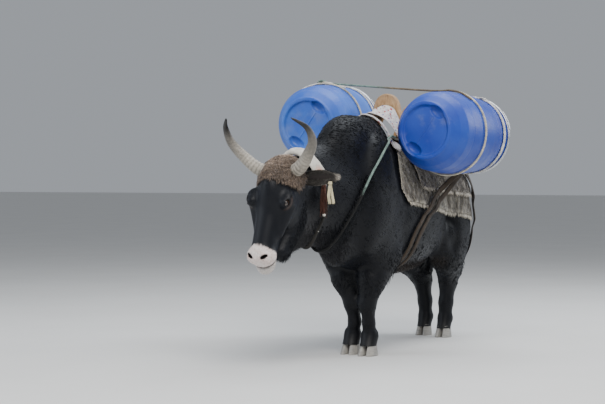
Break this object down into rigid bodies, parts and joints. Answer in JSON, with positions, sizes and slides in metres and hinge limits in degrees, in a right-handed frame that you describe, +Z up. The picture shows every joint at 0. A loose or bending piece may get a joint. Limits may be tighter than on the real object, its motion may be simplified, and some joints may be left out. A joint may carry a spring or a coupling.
{
  "type": "pack yak hybrid with drums",
  "caption": "Life-size still model of a short-coated black yak hybrid standing with its head low, in pack saddle, rugs, straps and collar, with blue drums lashed on its flanks.",
  "frame": {"origin": "middle of the bottom of the whole part's box, on the floor between the hooves", "axes": "+Z up, the animal faces -Y, +X is the animal's left, the side that the picture shows"},
  "size_m": [1.17, 2.126, 1.3945],
  "materials": {
    "coat": "short glossy black coat, grey-brown on the poll and throat, white muzzle",
    "horn": "pale ridged horn at the base, dark smooth tips",
    "eye": "wet dark eye",
    "hoof": "dull grey horn with dust",
    "drum_plastic": "sun-bleached blue blow-moulded plastic, scuffed",
    "clamp_steel": "galvanised band, dull",
    "cream_rope": "twisted off-white rope",
    "green_rope": "faded green twisted rope",
    "webbing": "woven brown wool strap",
    "rug_wool": "shaggy grey-brown felted wool with pale ends",
    "patterned_cloth": "off-white printed cotton with small red and blue spots",
    "saddle_wood": "worn pale wood, rounded edges",
    "white_cloth": "soiled off-white cotton with a faded orange stain",
    "ribbon": "thin cream ribbon",
    "yarn": "red-brown wool yarn"
  },
  "bodies": {
    "root": {"torso": "coat", "neck": "coat", "head": "coat", "ear_left": "coat", "horn_left": "horn", "eye_left": "eye", "ear_right": "coat", "horn_right": "horn", "eye_right": "eye", "leg_fore_left_upper": "coat", "leg_fore_left_lower": "coat", "leg_fore_right_upper": "coat", "leg_fore_right_lower": "coat", "leg_hind_left_upper": "coat", "leg_hind_left_lower": "coat", "leg_hind_right_upper": "coat", "leg_hind_right_lower": "coat", "hoof_fore_left_outer": "hoof", "hoof_fore_left_inner": "hoof", "hoof_fore_right_outer": "hoof", "hoof_fore_right_inner": "hoof", "hoof_hind_left_outer": "hoof", "hoof_hind_left_inner": "hoof", "hoof_hind_right_outer": "hoof", "hoof_hind_right_inner": "hoof", "tail_dock": "coat", "tail_tassel": "coat", "rug_lower": "rug_wool", "rug_upper": "rug_wool", "hump_cloth": "patterned_cloth", "girth_front": "webbing", "girth_rear": "webbing", "breeching": "webbing", "breast_rope": "green_rope", "saddle_board_left": "saddle_wood", "saddle_board_right": "saddle_wood", "saddle_arch_front": "saddle_wood", "saddle_arch_rear": "saddle_wood", "drum_left_body": "drum_plastic", "drum_left_lid": "drum_plastic", "drum_left_clamp": "clamp_steel", "drum_left_rope_front": "cream_rope", "drum_left_rope_rear": "cream_rope", "drum_right_body": "drum_plastic", "drum_right_lid": "drum_plastic", "drum_right_clamp": "clamp_steel", "drum_right_rope_front": "cream_rope", "drum_right_rope_rear": "cream_rope", "drum_tie": "green_rope", "collar_band": "white_cloth", "collar_tassel_left": "yarn", "collar_tassel_right": "yarn", "ear_ribbon": "ribbon"}
  },
  "joints": []
}
